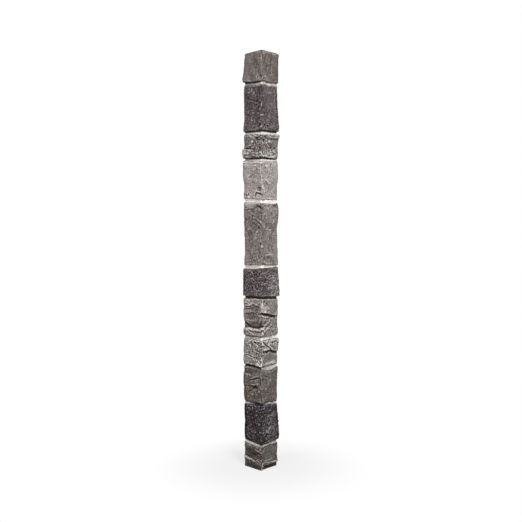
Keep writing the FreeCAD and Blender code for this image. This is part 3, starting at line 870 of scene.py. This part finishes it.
# %% Faces of the skin
tall, wide = shape
points = [place(columns[c], out_grid[r, c], z_grid[r, c]) for r in range(tall) for c in range(wide)]
MORTAR_SLOT = STONES
FOAM_SLOT = STONES + 1
faces, face_slots, face_rows = [], [], []
for r in range(tall - 1):
    (kind, number, _), (next_kind, next_number, _) = skin_rows[r], skin_rows[r + 1]
    in_joint = kind == next_kind == "mortar" and 0 < number < STONES
    stone_number = min(next_number if kind == "mortar" else number, STONES - 1)
    for a in range(r * wide, (r + 1) * wide - 1):
        faces.append((a, a + 1, a + 1 + wide, a + wide))
        face_slots.append(MORTAR_SLOT if in_joint else stone_number)
        face_rows.append(r)
skin_faces = len(faces)
print(skin_faces, "quads on the skin")

# %% Flat legs and sawn ends
SEGMENTS = 4                 # the back is cut this often, so its paint map stays fine

cut_rows = [round(i * (tall - 1) / SEGMENTS) for i in range(SEGMENTS + 1)]
left_back, inner_back, right_back = [], [], []
for r in cut_rows:
    left_z, right_z = z_grid[r, 0], z_grid[r, -1]
    for upright, x, y, z in ((left_back, END_X, BACK_Y, left_z),
                             (inner_back, BACK_X, BACK_Y, (left_z + right_z) / 2),
                             (right_back, BACK_X, END_Y, right_z)):
        upright.append(len(points))
        points.append(Vector((x, y, z)))
flat_faces = []              # each: points and the way it is looked at
for i in range(SEGMENTS):
    span = range(cut_rows[i], cut_rows[i + 1] + 1)
    left_edge = [r * wide for r in span]
    right_edge = [r * wide + wide - 1 for r in reversed(span)]
    flat_faces.append((left_edge + [left_back[i + 1], left_back[i]], "y"))
    flat_faces.append(([left_back[i], left_back[i + 1], inner_back[i + 1], inner_back[i]], "x"))
    flat_faces.append(([inner_back[i], inner_back[i + 1], right_back[i + 1], right_back[i]], "y"))
    flat_faces.append((right_edge + [right_back[i], right_back[i + 1]], "x"))
top_row = [(tall - 1) * wide + c for c in range(wide)]
flat_faces.append(([left_back[-1]] + top_row + [right_back[-1], inner_back[-1]], "z"))
flat_faces.append(([left_back[0], inner_back[0], right_back[0]] + list(reversed(range(wide))), "z"))
print(len(flat_faces), "flat faces")

# %% Build the mesh
mesh = bpy.data.meshes.new("stone_corner_skin")
mesh.from_pydata([list(point) for point in points], [], faces + [face for face, _ in flat_faces])
mesh.polygons.foreach_set("material_index", face_slots + [FOAM_SLOT] * len(flat_faces))
closing = bmesh.new()
closing.from_mesh(mesh)
bmesh.ops.recalc_face_normals(closing, faces=closing.faces)
open_edges = sum(1 for edge in closing.edges if not edge.is_manifold)
closing.to_mesh(mesh)
closing.free()
triangles = sum(len(p.vertices) - 2 for p in mesh.polygons)
print("triangles", triangles, "open edges", open_edges)

# %% Masks onto the mesh
SHARP = math.radians(50)

# The tone mask carries the painted shade and highlights with the stones' own tone.
masks = {"height": height_grid, "tone": tone_with_painted_light, "calm": calm_grid, "tint": tint_grid}
for name, grid in masks.items():
    values = np.zeros(len(points), dtype=np.float32)
    values[:grid.size] = grid.ravel()
    mesh.attributes.new("paint_" + name, "FLOAT", "POINT").data.foreach_set("value", values)
mesh.polygons.foreach_set("use_smooth", [True] * skin_faces + [False] * len(flat_faces))
mesh.set_sharp_from_angle(angle=SHARP)
print("masks kept:", [item.name for item in mesh.attributes if item.name.startswith("paint")])

# %% [markdown]
# ## Unrolling the skin
# Painted detail can be kept in one square picture if the skin is unrolled. It is
# 142 mm by 1.2 m, far too thin for a square, so it is cut into seven lengths laid
# side by side, and the flat back takes the last two places. Lengths are measured
# along the relief, so the side walls of the stones get their share too.

# %% Unroll into seven lengths
GRID = 3                     # places across and up the square
LENGTHS = 7
MARGIN = 0.012               # of a place, left clear round each length
steps = np.sqrt(np.diff(z_grid, axis=0) ** 2 + np.diff(out_grid, axis=0) ** 2).mean(axis=1)
path = np.concatenate([[0], np.cumsum(steps)])
length_of_row = np.minimum((path[:-1] / path[-1] * LENGTHS).astype(int), LENGTHS - 1)
starts = [path[:-1][length_of_row == k].min() for k in range(LENGTHS)]
ends = [path[1:][length_of_row == k].max() for k in range(LENGTHS)]

unrolled = mesh.uv_layers.new(name="OFBake")
corner_uv = np.zeros((len(mesh.loops), 2))
scale = (1 - 2 * MARGIN) / GRID
for polygon in mesh.polygons[:skin_faces]:
    k = length_of_row[face_rows[polygon.index]]
    column, row = k % GRID, k // GRID
    for loop in polygon.loop_indices:
        v = mesh.loops[loop].vertex_index
        across = (v % wide) / (wide - 1)
        up = (path[v // wide] - starts[k]) / (ends[k] - starts[k])
        corner_uv[loop] = ((column + MARGIN) / GRID + across * scale, (row + MARGIN) / GRID + up * scale)
print(LENGTHS, "lengths of about", round(path[-1] / LENGTHS / MM), "mm")

# %% Unroll the flat back beside them
FLAT_SCALE = 0.73            # of the square for each metre of flat face
FLAT_GAP = 0.004
LOOKS = {"x": (0, 2), "y": (1, 2), "z": (0, 1)}
cursor = (1 + MARGIN) / GRID
floor_line = (2 + MARGIN) / GRID
for polygon in mesh.polygons[skin_faces:]:
    axes = LOOKS[flat_faces[polygon.index - skin_faces][1]]
    flat = np.array([[mesh.vertices[mesh.loops[loop].vertex_index].co[axis] for axis in axes]
                     for loop in polygon.loop_indices])
    flat -= flat.min(axis=0)
    corner_uv[polygon.loop_indices] = flat * FLAT_SCALE + (cursor, floor_line)
    cursor += flat[:, 0].max() * FLAT_SCALE + FLAT_GAP
unrolled.data.foreach_set("uv", corner_uv.ravel())
print("flat faces end at", round(cursor, 3), "of the square's width")

# %% [markdown]
# ## Shader sums
# Node trees are easier to read as sums. This small class wraps one socket, so
# that plus, minus and times add the Math nodes, and one method makes any other
# node from its type, its settings and what goes into its sockets.

# %% A socket that can be added up
class Wire:
    def __init__(self, tree, socket=None):
        self.tree = tree
        self.socket = socket

    def node(self, kind, settings, inputs, out=0):
        """Adds a node: its settings first, then values or wires by socket."""
        made = self.tree.nodes.new(kind)
        for name, value in settings.items():
            setattr(made, name, value)
        for name, value in inputs.items():
            if isinstance(value, Wire):
                self.tree.links.new(value.socket, made.inputs[name])
            else:
                made.inputs[name].default_value = value
        return Wire(self.tree, made.outputs[out]) if made.outputs else made

    def math(self, operation, *values):
        return self.node("ShaderNodeMath", {"operation": operation}, dict(enumerate(values)))

    def __add__(self, other):
        return self.math("ADD", self, other)

    def __sub__(self, other):
        return self.math("SUBTRACT", self, other)

    def __rsub__(self, other):
        return self.math("SUBTRACT", other, self)

    def __mul__(self, other):
        return self.math("MULTIPLY", self, other)

    __radd__ = __add__
    __rmul__ = __mul__

    def between(self, low, high):
        """0 at low, 1 at high, smooth between and level beyond."""
        return self.node("ShaderNodeMapRange", {"interpolation_type": "SMOOTHSTEP"},
                         {"Value": self, "From Min": low, "From Max": high})

    def mixed(self, first, second):
        """Colour from first to second by this wire."""
        return self.node("ShaderNodeMix", {"data_type": "RGBA"}, {0: self, 6: first, 7: second}, 2)

    def mask(self, name):
        return self.node("ShaderNodeAttribute", {"attribute_name": "paint_" + name}, {}, "Fac")

    def place(self):
        return self.node("ShaderNodeTexCoord", {}, {}, "Object")

    def vector(self, operation, values, out=0):
        return self.node("ShaderNodeVectorMath", {"operation": operation}, {0: self, **values}, out)

    def cloud(self, size, detail=3.0, rough=0.55):
        """Noise with lumps of a size in metres, about 0 to 1."""
        return self.node("ShaderNodeTexNoise", {}, {"Vector": self, "Scale": 1 / size, "Detail": detail,
                                                    "Roughness": rough}, "Fac")

    def crystals(self, size):
        return self.node("ShaderNodeTexVoronoi", {"feature": "F1"}, {"Vector": self, "Scale": 1 / size},
                         "Distance")

    def bump(self, height, strength):
        """Normal from a height in metres."""
        return self.node("ShaderNodeBump", {}, {"Height": height, "Strength": strength, "Distance": 1.0})


def paint(name, recipe, gloss):
    """Material made by a recipe that gives wires for colour, roughness and normal."""
    material = bpy.data.materials.new(name)
    material.use_nodes = True
    shader = material.node_tree.nodes["Principled BSDF"]
    shader.inputs["Specular IOR Level"].default_value = gloss
    for socket, wire in zip(("Base Color", "Roughness", "Normal"), recipe(Wire(material.node_tree))):
        material.node_tree.links.new(wire.socket, shader.inputs[socket])
    return material


print("shader sums ready")

# %% [markdown]
# ## Stone paint
# Every stone follows one recipe with its own colours. The base coat drifts to a
# second colour in broad clouds and where a patch asks for it. Then one sum, the
# lift, adds up the masks with a blotchy noise, a fine one and grit, and says how
# much wash or light drag paint a place takes. The masks hold painted shade and
# painted highlights, so the wash and light colours paint them too. Smooth spots
# get less of the noise. The finest grain is bump, since it is smaller than the mesh.

# %% Recipe for stone
DRIFT_SIZE = 46 * MM
MOTTLE_SIZE, MOTTLED = 5 * MM, 1.7       # each noise, and its part in the lift
SPECKLE_SIZE, SPECKLED = 2.8 * MM, 2.5
GRIT_SIZE, GRITTY = 1.3 * MM, 1.6
CALM_PAINT = 0.7             # how much of the noise a smooth spot takes away
DRIFTED, TINTED = 0.7, 0.8   # parts of the clouds and of the tint mask
FULL_WASH_AND_SHADE, FULL_HIGH = 1.5, 1.65         # lift, down and up, where the paint is full
THIN_WASH = 0.35             # how much of the coat shows through the wash in grit
COVER = 0.97                 # most that light drag paint, or dirt and painted shadow on mortar, covers
SPECKLE_BUMP, GRIT_BUMP = 1.0 * MM, 0.45 * MM
STONE_GLOSS = 0.2


def stone_recipe(finish, number):
    def recipe(start):
        stretch = [1 + (b - 1) * finish.style.brushed for b in BRUSHED]
        moved = start.place().vector("MULTIPLY", {1: stretch}).vector("ADD", {1: (0, 0, number * SHIFT)})
        mottle = moved.cloud(MOTTLE_SIZE, 3.0, 0.6) - 0.5
        speckle = moved.cloud(SPECKLE_SIZE, 3.0, 0.65) - 0.5
        lively = (1.0 - start.mask("calm") * CALM_PAINT) * finish.style.speckled
        drift = moved.cloud(DRIFT_SIZE, 2.0).between(0.36, 0.66) * DRIFTED + start.mask("tint") * TINTED
        grit = moved.cloud(GRIT_SIZE, 3.0, 0.7)
        # The height and tone masks bring the painted shade and highlights into the lift.
        lift = (start.mask("height") + start.mask("tone")
                + (mottle * MOTTLED + speckle * SPECKLED) * lively + (grit - 0.5) * GRITTY)
        coat = drift.mixed(light(*finish.coat), light(*finish.other))
        wash = (grit.between(0.45, 0.75) * THIN_WASH).mixed(light(*finish.wash), coat)
        washed = (lift * -1.0).between(0.0, FULL_WASH_AND_SHADE).mixed(coat, wash)
        colour = (lift.between(0.0, FULL_HIGH) * COVER).mixed(washed, light(*finish.high))
        height = speckle * SPECKLE_BUMP + grit * GRIT_BUMP
        return colour, mottle * 0.25 + 0.85, start.bump(height, 0.9)
    return recipe


materials = [paint(f"{finish.name}_stone", stone_recipe(finish, number), STONE_GLOSS)
             for number, finish in enumerate(FINISHES)]
print(len(materials), "stone paints")

# %% [markdown]
# ## Mortar and bare foam
# The joints are sprayed off-white before the stones are painted. Dirt and painted
# shadow darken them under each overhang, and the surface is sandy. The back and the
# sawn ends show the bare foam: a warm grey with fine closed cells.

# %% Recipes for mortar and foam
MORTAR_PALE = light(244, 239, 234)
MORTAR_GREY = light(206, 199, 193)
# Near black, for dirt and the painted shadow in the joints.
MORTAR_DIRT_AND_SHADE = light(14, 12, 11)
FOAM_PALE = light(176, 168, 156)
FOAM_DARK = light(150, 142, 130)
GRAIN_OF_SAND = 1.5 * MM
LIME_DRIFT_SIZE = 14 * MM
MORTAR_FULL_DARK = 1.2
SAND_BUMP = 0.9 * MM
CELL_SIZE, CELL_BUMP = 1.6 * MM, 0.35 * MM
FOAM_DRIFT_SIZE = 60 * MM
FOAM_GLOSS = 0.25


def mortar_recipe(start):
    spot = start.place()
    sand = spot.cloud(GRAIN_OF_SAND, 3.0, 0.7)
    drift = spot.cloud(LIME_DRIFT_SIZE, 3.0)
    lime = (drift + (sand - 0.5) * 1.3).between(0.38, 0.76).mixed(MORTAR_PALE, MORTAR_GREY)
    # Dirt and the painted shadow under each stone, broken up by noise.
    shadow = start.mask("tone") * -1.0 + (drift - 0.5) * 0.5 + (sand - 0.5) * 0.8
    colour = (shadow.between(0.0, MORTAR_FULL_DARK) * COVER).mixed(lime, MORTAR_DIRT_AND_SHADE)
    return colour, sand * 0.1 + 0.85, start.bump(sand * SAND_BUMP, 0.8)


def foam_recipe(start):
    spot = start.place()
    cells = spot.crystals(CELL_SIZE)
    drift = spot.cloud(FOAM_DRIFT_SIZE, 3.0)
    colour = (cells.between(0.1, 0.6) * 0.4 + drift * 0.6).mixed(FOAM_DARK, FOAM_PALE)
    return colour, drift * 0.1 + 0.8, start.bump(cells * CELL_BUMP, 0.5)


materials.append(paint("mortar", mortar_recipe, STONE_GLOSS))
materials.append(paint("bare_foam", foam_recipe, FOAM_GLOSS))
for material in materials:
    mesh.materials.append(material)
print(len(mesh.materials), "materials on the mesh")

# %% Put the moulding in the frame
def put(name, data):
    """Object with this data, in the scene."""
    made = bpy.data.objects.new(name, data)
    bpy.context.scene.collection.objects.link(made)
    return made


moulding = put("stone_corner_moulding", mesh)
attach(moulding, "root")
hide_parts("stone_corner")
print("moulding has", len(mesh.vertices), "points")

# %% [markdown]
# ## Floor and backdrop
# The photograph has a pure white ground. Making the floor white with more light
# would bleach the stones, so rays from the camera see a plain white glow instead,
# and so do reflections. Only round the foot does the floor's real, lit colour mix
# in, which keeps the soft shadow that the moulding stands in.

# %% White for the rays that show it
def shown(start):
    """1 for rays that show the ground: seen straight, in gloss or through glass."""
    rays = start.tree.nodes.new("ShaderNodeLightPath")
    straight, gloss, through = (Wire(start.tree, rays.outputs[name]) for name in
                                ("Is Camera Ray", "Is Glossy Ray", "Is Transmission Ray"))
    return straight.math("MAXIMUM", straight, gloss.math("MAXIMUM", gloss, through))


WHITE = (1, 1, 1, 1)
FLOOR_WIDE = 30.0
FLOOR_COLOUR = (0.74, 0.74, 0.74, 1)
SHADOW_SHARE = 0.3           # of the real floor that shows at the foot
SHADOW_NEAR, SHADOW_FAR = 0.08, 0.35


def floor_recipe(material):
    material.use_nodes = True
    material.node_tree.nodes.clear()
    start = Wire(material.node_tree)
    away = start.place().vector("LENGTH", {}, "Value")
    real = away.between(SHADOW_FAR, SHADOW_NEAR) * SHADOW_SHARE
    matt = start.node("ShaderNodeBsdfDiffuse", {}, {"Color": FLOOR_COLOUR})
    glow = start.node("ShaderNodeEmission", {}, {"Color": WHITE, "Strength": 1.0})
    both = start.node("ShaderNodeMixShader", {}, {0: shown(start) * (1.0 - real), 1: matt, 2: glow})
    start.node("ShaderNodeOutputMaterial", {}, {"Surface": both})


floor_mesh = bpy.data.meshes.new("floor")
far = FLOOR_WIDE / 2
floor_mesh.from_pydata([(-far, -far, 0), (far, -far, 0), (far, far, 0), (-far, far, 0)], [], [(0, 1, 2, 3)])
floor_paint = bpy.data.materials.new("white_floor")
floor_recipe(floor_paint)
floor_mesh.materials.append(floor_paint)
floor = put("floor", floor_mesh)
print("floor laid")

# %% [markdown]
# ## Camera and light
# The camera looks at the arris from about 2 m away, level with the middle. A lamp
# stands high in front, a little to the right, so that stones throw shadow on the
# joint below them and their top edges are lit. A large weak lamp from the left
# and a pale world fill the rest.

# %% Camera
AZIMUTH = math.radians(42.8)
DISTANCE = 2.05
EYE_HEIGHT = 0.655
AIM_HEIGHT = 0.6108
AIM_SIDE = -1.74 * MM
LENS, SENSOR = 48.95, 36     # mm, as a photographer gives them
back_way = Vector((math.sin(AZIMUTH), -math.cos(AZIMUTH), 0))
right_way = Vector((math.cos(AZIMUTH), math.sin(AZIMUTH), 0))


def stand(thing, side, toward, height, aim):
    """Stands a thing to the side of the arris and toward the viewer, and aims it."""
    thing.location = ARRIS + right_way * side + back_way * toward + Vector((0, 0, height))
    thing.rotation_euler = (aim - thing.location).to_track_quat("-Z", "Y").to_euler()


eye = put("eye", bpy.data.cameras.new("eye"))
eye.data.lens = LENS
eye.data.sensor_width = SENSOR
stand(eye, 0, DISTANCE, EYE_HEIGHT, ARRIS + right_way * AIM_SIDE + Vector((0, 0, AIM_HEIGHT)))
bpy.context.scene.camera = eye
print("camera at", [round(v, 3) for v in eye.location])

# %% Lamps
def lamp(name, size, watts, **position):
    """Square lamp, aimed at the column's middle."""
    made = put(name, bpy.data.lights.new(name, "AREA"))
    made.data.size = size
    made.data.energy = watts
    stand(made, aim=ARRIS + Vector((0, 0, TOP / 2)), **position)


lamp("key", size=0.7, watts=52, side=0.7, toward=1.85, height=1.95)
lamp("fill", size=1.6, watts=17, side=-1.6, toward=1.8, height=1.0)
print("lamps placed")

# %% World
WORLD_STRENGTH = 0.34
world = bpy.data.worlds.new("studio")
bpy.context.scene.world = world
world.use_nodes = True
world.node_tree.nodes.clear()
start = Wire(world.node_tree)
strength = shown(start) * (1.0 - WORLD_STRENGTH) + WORLD_STRENGTH
sky = start.node("ShaderNodeBackground", {}, {"Color": WHITE, "Strength": strength})
start.node("ShaderNodeOutputWorld", {}, {"Surface": sky})
bpy.context.scene.view_settings.view_transform = "Standard"
print("world strength", WORLD_STRENGTH)
